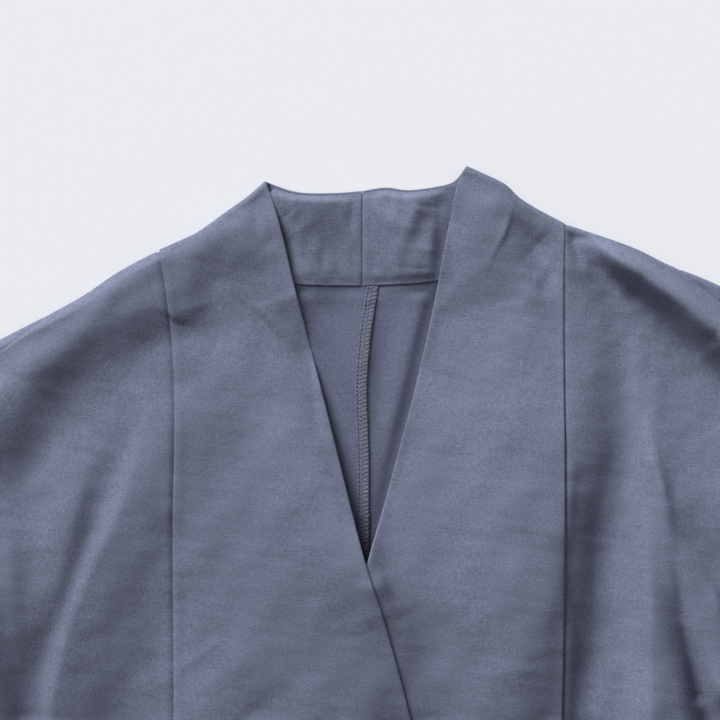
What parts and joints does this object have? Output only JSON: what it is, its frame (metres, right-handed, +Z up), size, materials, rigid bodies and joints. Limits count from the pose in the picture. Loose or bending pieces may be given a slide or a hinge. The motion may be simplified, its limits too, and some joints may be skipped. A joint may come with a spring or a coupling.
{
  "type": "kimono jacket",
  "caption": "Wide-sleeved wrap jacket laid flat, its front bands running on into a neckband and lapped at the chest",
  "frame": {"origin": "the middle of the outline from above, on the surface it lies on", "axes": "+X to the viewer's right across the garment, +Y towards the neck, +Z up from the surface"},
  "size_m": [1.1712, 0.7186, 0.0255],
  "materials": {
    "slate_cloth": "matte woven",
    "serging_thread": "matte thread"
  },
  "bodies": {
    "root": {"front_band_left": "slate_cloth", "front_band_right": "slate_cloth", "side_front_left": "slate_cloth", "side_front_right": "slate_cloth", "back_left": "slate_cloth", "back_right": "slate_cloth", "sleeve_left": "slate_cloth", "sleeve_right": "slate_cloth", "neck_facing_left": "slate_cloth", "neck_facing_right": "slate_cloth", "back_seam_allowance": "serging_thread"}
  },
  "joints": []
}
